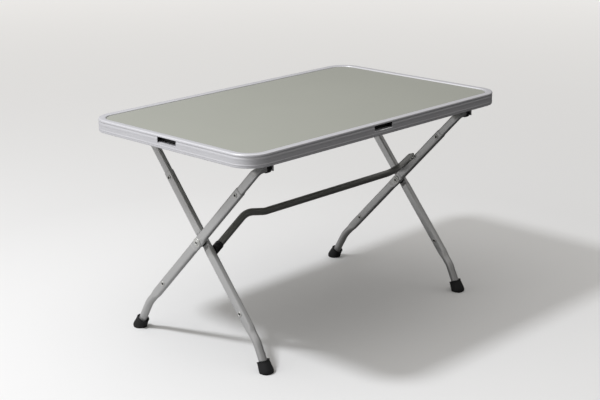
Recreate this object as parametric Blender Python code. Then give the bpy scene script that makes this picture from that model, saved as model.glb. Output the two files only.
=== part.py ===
"""Folding table: a panel in a bent metal rim, and two crossed leg frames that fold flat under it."""

import math

import bmesh
import bpy
import numpy as np
from mathutils import Matrix, Quaternion, Vector

# Driving dimensions in metres and degrees. X runs along the top, Y across it, Z up from the floor.
TOP_LENGTH = 1.150
TOP_WIDTH = 0.710
TOP_HEIGHT = 0.700
CORNER_RADIUS = 0.076
GAP = 0.0003  # between pieces that touch

RIM_HEIGHT = 0.040
RIM_WIDTH = 0.023
LEDGE_WIDTH = 0.015  # what the panel's edge lies on
LEDGE_TOP = 0.0305  # above the rim's lower edge
LEDGE_THICKNESS = 0.0025
RIM_WALL = 0.0035
FLANGE = 0.0027  # thickness of the rim's crown
PANEL_THICKNESS = 0.006

SLOT_WIDTH = 0.082
SLOT_CENTRES = {"front": -0.020, "back": 0.020, "left": -0.010, "right": 0.010}  # along each side
SLOT_LOW = 0.0155  # slot edges above the rim's lower edge
SLOT_HIGH = 0.0340
SHELF_TOP = 0.0170
POCKET_WALL = 0.0015

PIVOT = (-0.0095, 0.3534)  # y, z of the axis where the legs cross
HINGE_HEIGHT = 0.658  # where leg frame A turns
STUB_HEIGHT = 0.622  # where leg frame B's stubs rest

# A leg frame's slopes in degrees, and its places: y where a foot's axis meets the floor, the
# distances of its rivets up from the pivot, and the planes of its two legs.
FRAME_A_SIZES = {
    "turn": 1,  # 1 leans back going up, -1 leans forward
    "slope": 50.5,
    "foot_slope": 65.0,
    "foot_y": -0.2695,
    "rivets": {"upper": 0.2220, "lower": -0.2493},
    "planes": {"left": -0.4400, "right": 0.4835},
}
FRAME_B_SIZES = {
    "turn": -1,
    "slope": 46.3,
    "foot_slope": 60.0,
    "foot_y": 0.2911,
    "rivets": {"upper": 0.2547, "lower": -0.2369},
    "planes": {"left": -0.4635, "right": 0.4600},
}
SLEEVE_PAST_RIVET = 0.0195
UPPER_TUBE_START = 0.175
FOOT_BEND_RADIUS = 0.100
TUBE_FOOT = 0.014  # how far above the floor a leg's tube ends, along its foot

WALL = 0.0012
SLEEVE_SIDE = 0.0140  # half sizes across a leg's plane
SLEEVE_DEPTH = 0.0105
UPPER_SIDE = 0.0125
UPPER_DEPTH = 0.0090
FOOT_TUBE_RADIUS = 0.0128
SEAT_SIDE = 0.0155  # where a leg is pressed flat for the pivot
SEAT_DEPTH = 0.0070
FLAT = 3.6  # squareness of a section: 2 is round
ROUND = 2.0

SHANK = 0.0045  # the tubular rivets
HEAD = 0.0077
HEAD_HEIGHT = 0.0022
BORE = 0.0032
PIN_RADIUS = 0.003
WASHER_RADIUS = 0.0145
WASHER_THICKNESS = 0.0020
SPACER_RADIUS = 0.0165
PIVOT_HEAD = 0.0085

STUB_RADIUS = 0.0100
STUB_LENGTH = 0.046  # from the leg's plane, towards +X
STUB_BEND = 0.020
BUSH_RADIUS = 0.0125
BUSH_LENGTH = 0.014
BUSH_END = 0.0023
CLIP_START = 0.0350  # from the plane of leg B
CLIP_END = 0.0517
CLIP_WALL = 0.0030
CLIP_DEPTH = 0.006  # below the stub's axis
CLIP_FRONT = 0.016

CAP_LENGTH = 0.046
CAP_TOP_RADIUS = 0.0180
CAP_BASE_RADIUS = 0.0212
CAP_SQUARENESS = 2.4

BAR_RADIUS = 0.0115
BAR_ALONG = 0.0272  # where the bar's straight part lies, along and across leg frame B from the pivot
BAR_ACROSS = 0.0209
BAR_HUMP = (-0.262, -0.0148)  # x, and drop below the straight part
BAR_SHOULDER = (-0.190, 0.0)
BAR_LEFT_DROP = 0.0618
BAR_DROP_DIRECTION = (0.0, -0.4082, -0.9129)
BAR_BEND_RADIUS = 0.080
BAR_TURN_RADIUS = 0.048
BAR_FLAT_SIDE = 0.0145
BAR_FLAT_DEPTH = 0.0035
BAR_FLAT_AT = 0.070  # from the riveted end: flat up to here, round from the next
BAR_ROUND_AT = 0.112
BAR_LANDING = (0.093, 0.0190)  # along and across where the flat part meets the leg
BAR_END = (0.136, 0.0165)
BAR_RIVETS = ((0.117, 0.0075), (0.128, 0.0075))
BAR_RIVET_RADIUS = 0.0020
BAR_RIVET_HEAD = 0.0034
PLUG_CLEARANCE = 0.0006
PLUG_WALL = 0.0022
PLUG_OVER_BAR = 0.018
PLUG_INSET = 0.0110  # of the tube's end from the plug's face

RAIL_WIDTH = 0.060
RAIL_THICKNESS = 0.0015
RAIL_LIP = 0.0100
RAIL_END_GAP = 0.0040
RAIL_OFFSET = 0.0255  # of a rail's middle from the plane of leg B
RAIL_TOP = TOP_HEIGHT - RIM_HEIGHT + LEDGE_TOP - LEDGE_THICKNESS - GAP
RAIL_UNDER = RAIL_TOP - RAIL_THICKNESS - GAP
SCREW_PLACES = (-0.310, -0.110, 0.110, 0.310)
SCREW_INSET = 0.017  # of a screw from the rail's middle, towards the table's
SCREW_RADIUS = 0.0018
SCREW_HEAD = 0.0040
SCREW_DEPTH = 0.0070

BRACKET_WALL = 0.0020
BRACKET_CLEARANCE = 0.0006
BRACKET_HALF_LENGTH = 0.017
BRACKET_BELOW_PIN = 0.013

SIDES = 16

FINISHES = {
    "panel_laminate": ((0.40, 0.41, 0.35), 0.55, 0.0),
    "rim_metal": ((0.56, 0.56, 0.58), 0.35, 0.85),
    "grey_paint": ((0.36, 0.36, 0.36), 0.38, 0.35),
    "bar_paint": ((0.30, 0.30, 0.29), 0.40, 0.35),
    "plated_steel": ((0.62, 0.62, 0.60), 0.30, 0.90),
    "black_plastic": ((0.015, 0.015, 0.016), 0.50, 0.0),
    "black_rubber": ((0.020, 0.020, 0.021), 0.75, 0.0),
}


def clear_scene():
    for thing in list(bpy.data.objects):
        bpy.data.objects.remove(thing, do_unlink=True)


def finish(name):
    """The named material, made on first use."""
    material = bpy.data.materials.get(name)
    if material:
        return material
    colour, roughness, metallic = FINISHES[name]
    material = bpy.data.materials.new(name)
    material.use_nodes = True
    shader = material.node_tree.nodes["Principled BSDF"]
    shader.inputs["Base Color"].default_value = (*colour, 1.0)
    shader.inputs["Roughness"].default_value = roughness
    shader.inputs["Metallic"].default_value = metallic
    return material


def add_object(name, shape, material, parent=None):
    """Turns a bmesh in world coordinates into a named object, whose origin is its parent's."""
    bmesh.ops.recalc_face_normals(shape, faces=shape.faces)
    if parent:
        bmesh.ops.transform(shape, matrix=Matrix.Translation(-parent.location), verts=shape.verts)
    mesh = bpy.data.meshes.new(name)
    shape.to_mesh(mesh)
    shape.free()
    mesh.shade_smooth()
    mesh.set_sharp_from_angle(angle=math.radians(32))
    thing = bpy.data.objects.new(name, mesh)
    thing.parent = parent
    bpy.context.scene.collection.objects.link(thing)
    mesh.materials.append(finish(material))
    return thing


def add_empty(name, location):
    """The axis that a moving frame turns on."""
    empty = bpy.data.objects.new(name, None)
    empty.location = location
    empty.empty_display_size = 0.05
    bpy.context.scene.collection.objects.link(empty)
    return empty


def loft(rings, closed=False):
    """A body through rings of points; a closed one runs on from the last ring to the first."""
    shape = bmesh.new()
    rows = [[shape.verts.new(point) for point in ring] for ring in rings]
    pairs = list(zip(rows, rows[1:]))
    if closed:
        pairs.append((rows[-1], rows[0]))
    else:
        shape.faces.new(rows[0])
        shape.faces.new(rows[-1])
    for low, high in pairs:
        for k in range(len(low)):
            after = (k + 1) % len(low)
            shape.faces.new((low[k], low[after], high[after], high[k]))
    return shape


def box(low, high):
    """A box between two corners."""
    centre = (Vector(low) + Vector(high)) / 2
    size = Vector(high) - Vector(low)
    shape = bmesh.new()
    place = Matrix.Translation(centre) @ Matrix.Diagonal((*size, 1.0))
    bmesh.ops.create_cube(shape, size=1.0, matrix=place)
    return shape


def cylinder(y, z, radius, x_low, x_high, sides=SIDES):
    """A cylinder along X."""
    shape = bmesh.new()
    middle = Vector(((x_low + x_high) / 2, y, z))
    place = Matrix.Translation(middle) @ Matrix.Rotation(math.pi / 2, 4, "Y")
    bmesh.ops.create_cone(
        shape,
        cap_ends=True,
        segments=sides,
        radius1=radius,
        radius2=radius,
        depth=x_high - x_low,
        matrix=place,
    )
    return shape


def cut(thing, name, shape):
    """Takes a shape in world coordinates out of an object, with a hidden cutter."""
    cutter = add_object(name, shape, "black_plastic")
    cutter.hide_render = True
    cutter.display_type = "WIRE"
    modifier = thing.modifiers.new(name, "BOOLEAN")
    modifier.operation = "DIFFERENCE"
    modifier.object = cutter


def drill(thing, name, place, radius, reach=0.02):
    """A hole along X round a place, with clearance for what goes through it."""
    cut(thing, name, cylinder(place.y, place.z, radius + GAP, place.x - reach, place.x + reach))


def oval(centre, side, depth, half_side, half_depth, squareness, count=SIDES):
    """Points of a superellipse round a centre: power 2 is an ellipse, a higher one is flatter sided."""
    angles = (np.arange(count) + 0.5) * math.tau / count
    across = half_side * np.sign(np.cos(angles)) * np.abs(np.cos(angles)) ** (2 / squareness)
    through = half_depth * np.sign(np.sin(angles)) * np.abs(np.sin(angles)) ** (2 / squareness)
    return [centre + side * a + depth * b for a, b in zip(across, through)]


def rounded_path(corners, radius, steps):
    """A centre line through the corners, where each turn becomes an arc; straight-through corners stay."""
    points = [corners[0]]
    for before, corner, after in zip(corners, corners[1:], corners[2:]):
        incoming = (before - corner).normalized()
        outgoing = (after - corner).normalized()
        half_angle = incoming.angle(outgoing) / 2
        if half_angle > math.radians(89.9):
            points.append(corner)
            continue
        reach = radius / math.tan(half_angle)
        centre = corner + (incoming + outgoing).normalized() * radius / math.sin(half_angle)
        spoke = corner + incoming * reach - centre
        turn = spoke.rotation_difference(corner + outgoing * reach - centre)
        for step in range(steps + 1):
            points.append(centre + Quaternion().slerp(turn, step / steps) @ spoke)
    points.append(corners[-1])
    return points


def frames_along(points, first_side):
    """Point, side and depth directions and the length so far, carried along a line without twist."""
    tangents = []
    for k in range(len(points)):
        before = points[max(k - 1, 0)]
        after = points[min(k + 1, len(points) - 1)]
        here = points[k]
        tangent = (here - before).normalized() + (after - here).normalized()
        tangents.append(tangent.normalized())
    side = (first_side - tangents[0] * first_side.dot(tangents[0])).normalized()
    length = 0.0
    frames = []
    for k, point in enumerate(points):
        if k:
            side = tangents[k - 1].rotation_difference(tangents[k]) @ side
            length += (point - points[k - 1]).length
        frames.append((point, side, tangents[k].cross(side), length))
    return frames


def tube(points, first_side, section, wall=WALL):
    """An open-ended tube along a line; section gives the half sizes and squareness at a length."""
    outside = []
    inside = []
    for point, side, depth, length in frames_along(points, first_side):
        half_side, half_depth, squareness = section(length)
        outside.append(oval(point, side, depth, half_side, half_depth, squareness))
        inside.append(oval(point, side, depth, half_side - wall, half_depth - wall, squareness))
    return loft(outside + inside[::-1], closed=True)


def turned(y, z, profile, sides=SIDES):
    """A body turned about an axis along X, from (x, radius) pairs."""
    axes = Vector((0, 1, 0)), Vector((0, 0, 1))
    rings = [oval(Vector((x, y, z)), *axes, radius, radius, ROUND, sides) for x, radius in profile]
    return loft(rings)


def outline(inset, height, steps=8):
    """The top's rounded outline, moved in by an inset, at a height."""
    points = []
    for quarter, (sign_x, sign_y) in enumerate(((1, 1), (-1, 1), (-1, -1), (1, -1))):
        centre_x = sign_x * (TOP_LENGTH / 2 - CORNER_RADIUS)
        centre_y = sign_y * (TOP_WIDTH / 2 - CORNER_RADIUS)
        for step in range(steps + 1):
            angle = (quarter + step / steps) * math.pi / 2
            x = centre_x + (CORNER_RADIUS - inset) * math.cos(angle)
            y = centre_y + (CORNER_RADIUS - inset) * math.sin(angle)
            points.append(Vector((x, y, height)))
    return points


def rim_profile():
    """Inset and height of the rim's section: beaded outer wall, crowned top, web, ledge and shelf."""
    web = RIM_WIDTH - LEDGE_THICKNESS
    flange_underside = RIM_HEIGHT - FLANGE
    ledge_end = RIM_WIDTH + LEDGE_WIDTH
    ledge_underside = LEDGE_TOP - LEDGE_THICKNESS
    beads = [(0.0020, 0.0), (0.0, 0.0030), (0.0010, 0.0055), (0.0, 0.0085), (0.0010, 0.0115)]
    band = [(0.0010, 0.0205), (0.0, 0.0250), (0.0018, 0.0305), (0.0, 0.0350), (0.0010, 0.0382)]
    crown = [(0.0035, RIM_HEIGHT), (0.0195, RIM_HEIGHT), (0.0225, 0.0388), (RIM_WIDTH, 0.0370)]
    ledge = [
        (RIM_WIDTH, LEDGE_TOP),
        (ledge_end, LEDGE_TOP),
        (ledge_end, ledge_underside),
        (RIM_WIDTH, ledge_underside),
    ]
    shelf = [(RIM_WIDTH, SLOT_LOW), (0.0060, SLOT_LOW), (0.0060, SHELF_TOP), (web, SHELF_TOP)]
    inside = [(web, flange_underside), (RIM_WALL, flange_underside), (RIM_WALL, 0.0025)]
    lip = [(0.0100, 0.0025), (0.0100, 0.0)]
    return beads + band + crown + ledge + shelf + inside + lip


def rim_base():
    return TOP_HEIGHT - RIM_HEIGHT


def make_rim():
    base = rim_base()
    rings = [outline(inset, base + height) for inset, height in rim_profile()]
    rim = add_object("rim", loft(rings, closed=True), "rim_metal")
    for name, low, high in slot_boxes(-0.004, RIM_WALL + 0.001, SLOT_WIDTH / 2, SLOT_LOW, SLOT_HIGH):
        cut(rim, "slot_cut_" + name, box(low, high))


def slot_boxes(start, end, half_width, low, high):
    """Boxes at the four slots, from one inset to another, with each side's name."""
    base = rim_base()
    for name, sign in (("front", -1), ("back", 1), ("left", -1), ("right", 1)):
        across = name in ("left", "right")
        reach = TOP_LENGTH / 2 if across else TOP_WIDTH / 2
        near, far = sorted(sign * (reach - inset) for inset in (start, end))
        left = SLOT_CENTRES[name] - half_width
        right = SLOT_CENTRES[name] + half_width
        if across:
            yield name, (near, left, base + low), (far, right, base + high)
        else:
            yield name, (left, near, base + low), (right, far, base + high)


def make_pockets():
    """Black pockets behind the slots, open to the outside and over the rim's shelf."""
    web = RIM_WIDTH - LEDGE_THICKNESS
    start = RIM_WALL + GAP
    end = web - GAP
    half = SLOT_WIDTH / 2 + 0.004
    low = SHELF_TOP + GAP
    high = RIM_HEIGHT - FLANGE - GAP
    outsides = slot_boxes(start, end, half, low, high)
    wall = POCKET_WALL
    hollows = slot_boxes(start - 0.002, end - wall, half - wall, low - 0.002, high - wall)
    for (name, corner, far), (_, hollow, hollow_far) in zip(outsides, hollows):
        pocket = add_object("grip_pocket_" + name, box(corner, far), "black_plastic")
        cut(pocket, "pocket_cut_" + name, box(hollow, hollow_far))


def make_panel():
    edge = RIM_WIDTH + GAP
    underside = rim_base() + LEDGE_TOP + GAP
    rings = [outline(edge, underside), outline(edge, underside + PANEL_THICKNESS)]
    add_object("table_panel", loft(rings), "panel_laminate")


class LegFrame:
    """One pair of parallel legs: a straight upper part through the pivot and a steeper foot."""

    def __init__(self, letter, sizes):
        self.letter = letter
        slope = math.radians(sizes["slope"])
        foot = math.radians(sizes["foot_slope"])
        self.up = Vector((0, sizes["turn"] * math.cos(slope), math.sin(slope)))
        self.foot_up = Vector((0, sizes["turn"] * math.cos(foot), math.sin(foot)))
        self.foot_y = sizes["foot_y"]
        self.rivets = sizes["rivets"]
        self.planes = sizes["planes"]
        self.sleeve_end = self.rivets["upper"] + SLEEVE_PAST_RIVET

    def point(self, x, distance):
        """The point on a leg's axis at a distance up from the pivot."""
        return Vector((x, *PIVOT)) + self.up * distance

    def across(self):
        """Direction across a leg in its own plane, pointing up."""
        side = Vector((1, 0, 0)).cross(self.up)
        return side if side.z > 0 else -side

    def foot(self, x, distance):
        """The point on a foot's axis at a distance up from the floor."""
        return Vector((x, self.foot_y, 0)) + self.foot_up * distance

    def bend(self, x):
        """Where a leg's axis and its foot's axis cross."""
        start = self.point(x, 0)
        floor = self.foot(x, 0)
        reach = (floor - start).cross(self.foot_up).x / self.up.cross(self.foot_up).x
        return self.point(x, reach)

    def height(self, z):
        """Distance up the leg from the pivot to a height."""
        return (z - PIVOT[1]) / self.up.z


FRAME_A = LegFrame("a", FRAME_A_SIZES)
FRAME_B = LegFrame("b", FRAME_B_SIZES)
HINGE_REACH = FRAME_A.height(HINGE_HEIGHT)
STUB_REACH = FRAME_B.height(STUB_HEIGHT)
LEG_FACE = FRAME_B.planes["right"] - SLEEVE_DEPTH  # inner face of the leg that carries the crossbar
BAR_END_X = LEG_FACE - GAP - BAR_FLAT_DEPTH
PLUG_FACE = FRAME_A.planes["left"] + SLEEVE_DEPTH + PLUG_CLEARANCE


def lower_section(distance):
    """Section of a lower tube at a distance up from the pivot: flat sided, thin at the pivot, then round."""
    places = (-0.318, -0.290, -0.030, -0.022, 0.022, 0.030)
    sides = (FOOT_TUBE_RADIUS, SLEEVE_SIDE, SLEEVE_SIDE, SEAT_SIDE, SEAT_SIDE, SLEEVE_SIDE)
    depths = (FOOT_TUBE_RADIUS, SLEEVE_DEPTH, SLEEVE_DEPTH, SEAT_DEPTH, SEAT_DEPTH, SLEEVE_DEPTH)
    shapes = (ROUND, FLAT, FLAT, FLAT, FLAT, FLAT)
    return tuple(float(np.interp(distance, places, row)) for row in (sides, depths, shapes))


def make_lower_tubes(frame, parent):
    for hand, x in frame.planes.items():
        stations = (frame.sleeve_end, 0.030, 0.022, -0.022, -0.030, -0.290, -0.304)
        corners = [frame.point(x, distance) for distance in stations]
        corners += [frame.bend(x), frame.foot(x, TUBE_FOOT)]
        line = rounded_path(corners, FOOT_BEND_RADIUS, 5)
        name = f"leg_{frame.letter}_{hand}_lower"
        shape = tube(line, frame.across(), lambda length: lower_section(frame.sleeve_end - length))
        leg = add_object(name, shape, "grey_paint", parent)
        for label, distance in {**frame.rivets, "pivot": 0.0}.items():
            drill(leg, f"{name}_{label}_hole", frame.point(x, distance), SHANK)


def rivet_profile(x_low, x_high, head=HEAD, shank=SHANK, bore=BORE):
    """A tubular rivet between two outer faces: a blind bore in its -X head, and a domed +X head."""
    depth = min(0.006, (x_high - x_low) / 2)
    head_height = HEAD_HEIGHT
    return [
        (x_low + depth - head_height, bore),
        (x_low - head_height, bore),
        (x_low - head_height, head - 0.0009),
        (x_low - head_height * 0.5, head),
        (x_low, head),
        (x_low, shank),
        (x_high, shank),
        (x_high, head),
        (x_high + head_height * 0.5, head),
        (x_high + head_height, head - 0.0012),
    ]


def make_rivets(frame, parent):
    """Rivets through the two flat sides of each lower tube, above and below the pivot."""
    for hand, x in frame.planes.items():
        for label, distance in frame.rivets.items():
            place = frame.point(x, distance)
            reach = SLEEVE_DEPTH + GAP
            shape = turned(place.y, place.z, rivet_profile(x - reach, x + reach))
            add_object(f"rivet_{frame.letter}_{hand}_{label}", shape, "plated_steel", parent)


def upper_section(length):
    return UPPER_SIDE, UPPER_DEPTH, FLAT


def make_upper_tubes_a(parent):
    """Straight upper tubes with a cross hole for the bracket pin near the top."""
    for hand, x in FRAME_A.planes.items():
        line = [FRAME_A.point(x, UPPER_TUBE_START), FRAME_A.point(x, HINGE_REACH + 0.010)]
        name = f"leg_a_{hand}_upper"
        leg = add_object(name, tube(line, FRAME_A.across(), upper_section), "grey_paint", parent)
        drill(leg, name + "_rivet_hole", FRAME_A.point(x, FRAME_A.rivets["upper"]), SHANK)
        drill(leg, name + "_pin_hole", FRAME_A.point(x, HINGE_REACH), PIN_RADIUS)


def make_upper_tubes_b(parent):
    """Upper tubes whose top is bent square to a short round stub along +X."""
    straight = STUB_REACH - UPPER_TUBE_START - STUB_BEND

    def section(length):
        share = min(max((length - straight) / (STUB_BEND * math.pi / 2), 0.0), 1.0)
        return (
            UPPER_SIDE + (STUB_RADIUS - UPPER_SIDE) * share,
            UPPER_DEPTH + (STUB_RADIUS - UPPER_DEPTH) * share,
            FLAT + (ROUND - FLAT) * share,
        )

    for hand, x in FRAME_B.planes.items():
        top = FRAME_B.point(x, STUB_REACH)
        corners = [FRAME_B.point(x, UPPER_TUBE_START), top, top + Vector((STUB_LENGTH, 0, 0))]
        line = rounded_path(corners, STUB_BEND, 6)
        name = f"leg_b_{hand}_upper"
        leg = add_object(name, tube(line, FRAME_B.across(), section), "grey_paint", parent)
        drill(leg, name + "_rivet_hole", FRAME_B.point(x, FRAME_B.rivets["upper"]), SHANK)
        make_bush(f"stub_bush_{hand}", top, parent)


def make_bush(name, top, parent):
    """A black cap pushed over the end of a stub."""
    tip = top.x + STUB_LENGTH
    start = tip - BUSH_LENGTH
    profile = [
        (start, BUSH_RADIUS - 0.0008),
        (start + 0.0012, BUSH_RADIUS),
        (tip + 0.0008, BUSH_RADIUS),
        (tip + BUSH_END, BUSH_RADIUS - 0.0020),
        (tip + BUSH_END, 0.0010),
    ]
    bush = add_object(name, turned(top.y, top.z, profile), "black_plastic", parent)
    cut(bush, name + "_bore", cylinder(top.y, top.z, STUB_RADIUS + GAP, start - 0.01, tip + GAP))


def make_foot_caps(frame, parent):
    """Rubber cups square to the feet, wider at the base, rounded below and cut flat on the floor."""
    profile = (
        (-0.012, 0.0060),
        (-0.0095, 0.0135),
        (-0.0040, 0.0188),
        (0.0040, CAP_BASE_RADIUS),
        (CAP_LENGTH - 0.0120, CAP_TOP_RADIUS + 0.0002),
        (CAP_LENGTH - 0.0075, CAP_TOP_RADIUS + 0.0012),
        (CAP_LENGTH - 0.0065, CAP_TOP_RADIUS),
    )
    for hand, x in frame.planes.items():
        side = Vector((1, 0, 0)).cross(frame.foot_up)
        axes = side, Vector((1, 0, 0))
        rings = [
            oval(frame.foot(x, distance), *axes, radius, radius, CAP_SQUARENESS, 20)
            for distance, radius in profile
        ]
        shape = loft(rings)
        whole = shape.verts[:] + shape.edges[:] + shape.faces[:]
        cut_out = bmesh.ops.bisect_plane(
            shape, geom=whole, plane_co=(0, 0, 0), plane_no=(0, 0, 1), clear_inner=True
        )
        close_cut(shape, cut_out)
        name = f"foot_cap_{frame.letter}_{hand}"
        cap = add_object(name, shape, "black_rubber", parent)
        bore = [
            oval(frame.foot(x, distance), *axes, *(FOOT_TUBE_RADIUS + GAP,) * 2, ROUND)
            for distance in (TUBE_FOOT - GAP, CAP_LENGTH + 0.01)
        ]
        cut(cap, name + "_bore", loft(bore))


def make_pivots(parent):
    """At each crossing a long rivet, a large washer on its -X side and a black spacer between the legs."""
    for hand in ("left", "right"):
        low_x, high_x = sorted((FRAME_A.planes[hand], FRAME_B.planes[hand]))
        face = low_x - SEAT_DEPTH - GAP
        outer_face = face - WASHER_THICKNESS
        profile = [(outer_face, WASHER_RADIUS - 0.0010), (face - 0.0012, WASHER_RADIUS), (face, WASHER_RADIUS)]
        washer = add_object(f"pivot_washer_{hand}", turned(*PIVOT, profile, 24), "plated_steel", parent)
        drill(washer, f"pivot_washer_{hand}_hole", Vector((face, *PIVOT)), SHANK, 0.01)
        ends = low_x + SEAT_DEPTH + GAP, high_x - SEAT_DEPTH - GAP
        profile = [(x, SPACER_RADIUS) for x in ends]
        spacer = add_object(f"pivot_spacer_{hand}", turned(*PIVOT, profile, 24), "black_plastic", parent)
        drill(spacer, f"pivot_spacer_{hand}_hole", Vector((ends[0], *PIVOT)), SHANK)
        profile = rivet_profile(outer_face - GAP, high_x + SEAT_DEPTH + GAP, head=PIVOT_HEAD)
        add_object(f"pivot_rivet_{hand}", turned(*PIVOT, profile), "plated_steel", parent)


def frame_b_point(x, along, across):
    """A point from the pivot, along and across leg frame B."""
    return FRAME_B.point(x, along) + FRAME_B.across() * across


def bar_point(x, drop):
    """A point of the crossbar's left part, at a drop below the line of its straight part."""
    return frame_b_point(x, BAR_ALONG, BAR_ACROSS) + Vector(BAR_DROP_DIRECTION) * drop


def bar_corners():
    """Corners of the crossbar, from its free left end to its flattened right end on leg B."""
    left = bar_point(PLUG_FACE + PLUG_INSET, BAR_LEFT_DROP)
    hump = bar_point(*BAR_HUMP)
    shoulder = bar_point(*BAR_SHOULDER)
    turn = frame_b_point(BAR_END_X, BAR_ALONG, BAR_ACROSS)
    landing = frame_b_point(BAR_END_X, *BAR_LANDING)
    end = frame_b_point(BAR_END_X, *BAR_END)
    return left, hump, shoulder, turn, landing, end


def bar_section(length):
    share = min(max((BAR_ROUND_AT - length) / (BAR_ROUND_AT - BAR_FLAT_AT), 0.0), 1.0)
    return (
        BAR_RADIUS + (BAR_FLAT_SIDE - BAR_RADIUS) * share,
        BAR_RADIUS + (BAR_FLAT_DEPTH - BAR_RADIUS) * share,
        ROUND + (2.8 - ROUND) * share,
    )


def make_crossbar(parent):
    """A bent tube: pressed flat and riveted to the right leg B, its left end plugged beside leg A."""
    corners = bar_corners()
    bends = rounded_path(corners[:4], BAR_BEND_RADIUS, 5)
    last_turn = rounded_path([bends[-2], *corners[3:5]], BAR_TURN_RADIUS, 6)
    line = (bends[:-1] + last_turn[1:] + [corners[-1]])[::-1]
    bar = add_object("crossbar", tube(line, FRAME_B.across(), bar_section), "bar_paint", parent)
    leg = bpy.data.objects["leg_b_right_lower"]
    face = BAR_END_X - BAR_FLAT_DEPTH - GAP
    for number, (along, across) in enumerate(BAR_RIVETS, 1):
        place = frame_b_point(LEG_FACE, along, across)
        drill(bar, f"crossbar_hole_{number}", place, BAR_RIVET_RADIUS)
        drill(leg, f"leg_hole_{number}", place, BAR_RIVET_RADIUS, 0.006)
        profile = [
            (face - 0.0016, BAR_RIVET_HEAD - 0.0010),
            (face - 0.0008, BAR_RIVET_HEAD),
            (face, BAR_RIVET_HEAD),
            (face, BAR_RIVET_RADIUS),
            (LEG_FACE + WALL + 0.0020, BAR_RIVET_RADIUS),
        ]
        shape = turned(place.y, place.z, profile, 12)
        add_object(f"crossbar_rivet_{number}", shape, "plated_steel", parent)


def close_cut(shape, cut_out):
    """Fills the opening that a bisecting plane left."""
    edges = [edge for edge in cut_out["geom_cut"] if isinstance(edge, bmesh.types.BMEdge)]
    bmesh.ops.contextual_create(shape, geom=edges)


def make_bar_plug(parent):
    """Black plug that closes the bar's left end and faces the inner side of the left leg A."""
    left, hump = bar_corners()[:2]
    along = (left - hump).normalized()
    side = along.cross(Vector((1, 0, 0))).normalized()
    depth = along.cross(side)
    radius = BAR_RADIUS + PLUG_WALL
    profile = ((-PLUG_OVER_BAR, radius - 0.0006), (0.004, radius), (0.040, radius))
    shape = loft([oval(left + along * d, side, depth, r, r, ROUND) for d, r in profile])
    whole = shape.verts[:] + shape.edges[:] + shape.faces[:]
    face = Vector((PLUG_FACE, 0, 0))
    cut_out = bmesh.ops.bisect_plane(
        shape, geom=whole, plane_co=face, plane_no=(-1, 0, 0), clear_outer=True
    )
    close_cut(shape, cut_out)
    plug = add_object("crossbar_plug", shape, "black_plastic", parent)
    hole = BAR_RADIUS + GAP
    bore = [oval(left + along * d, side, depth, hole, hole, ROUND) for d in (-0.03, GAP)]
    cut(plug, "crossbar_plug_bore", loft(bore))


def make_rails():
    """Steel channels across the underside, screwed up into the panel."""
    half = RAIL_WIDTH / 2
    inner = half - RAIL_THICKNESS
    low = RAIL_TOP - RAIL_LIP
    web = RAIL_TOP - RAIL_THICKNESS
    profile = [
        (-half, low),
        (-half, RAIL_TOP),
        (half, RAIL_TOP),
        (half, low),
        (inner, low),
        (inner, web),
        (-inner, web),
        (-inner, low),
    ]
    reach = TOP_WIDTH / 2 - RIM_WIDTH - RAIL_END_GAP
    for hand, leg_x in FRAME_B.planes.items():
        middle = leg_x + RAIL_OFFSET
        rings = [[Vector((middle + x, y, z)) for x, z in profile] for y in (-reach, reach)]
        rail = add_object(f"cross_rail_{hand}", loft(rings), "plated_steel")
        for number, y in enumerate(SCREW_PLACES, 1):
            screw_x = middle - math.copysign(SCREW_INSET, middle)
            make_screw(f"rail_screw_{hand}_{number}", screw_x, y, rail)


def make_screw(name, x, y, rail):
    """A pan-head screw up through a rail into the panel, with its holes."""
    head_top = RAIL_UNDER
    tip = RAIL_TOP + SCREW_DEPTH
    profile = [
        (head_top - 0.0026, 0.0024),
        (head_top - 0.0013, SCREW_HEAD),
        (head_top, SCREW_HEAD),
        (head_top, SCREW_RADIUS),
        (tip, SCREW_RADIUS),
    ]
    axes = Vector((1, 0, 0)), Vector((0, 1, 0))
    rings = [oval(Vector((x, y, z)), *axes, radius, radius, ROUND, 10) for z, radius in profile]
    add_object(name, loft(rings), "plated_steel")
    wide = SCREW_RADIUS + GAP
    hole_ends = {rail: (RAIL_TOP - 0.004, RAIL_TOP + 0.001)}
    hole_ends[bpy.data.objects["table_panel"]] = (RAIL_TOP + 0.0005, tip + GAP)
    for target, ends in hole_ends.items():
        hole = [oval(Vector((x, y, z)), *axes, wide, wide, ROUND, 10) for z in ends]
        cut(target, f"{name}_hole_in_{target.name}", loft(hole))


def make_brackets():
    """Steel yokes that hold the upper ends of leg frame A, with a pin through each."""
    hinge = FRAME_A.point(0, HINGE_REACH)
    for hand, x in FRAME_A.planes.items():
        inner = UPPER_DEPTH + BRACKET_CLEARANCE
        outer = inner + BRACKET_WALL
        low = hinge.z - BRACKET_BELOW_PIN
        y_low, y_high = hinge.y - BRACKET_HALF_LENGTH, hinge.y + BRACKET_HALF_LENGTH
        shape = box((x - outer, y_low, low), (x + outer, y_high, RAIL_UNDER))
        yoke = add_object(f"leg_bracket_{hand}", shape, "plated_steel")
        inside_top = RAIL_UNDER - BRACKET_WALL
        hollow = box((x - inner, y_low - 0.01, low - 0.01), (x + inner, y_high + 0.01, inside_top))
        cut(yoke, f"leg_bracket_{hand}_hollow", hollow)
        drill(yoke, f"leg_bracket_{hand}_hole", Vector((x, hinge.y, hinge.z)), PIN_RADIUS)
        reach = outer + GAP
        profile = rivet_profile(x - reach, x + reach, head=0.0060, shank=PIN_RADIUS, bore=0.0015)
        add_object(f"bracket_pin_{hand}", turned(hinge.y, hinge.z, profile), "plated_steel")


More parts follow.
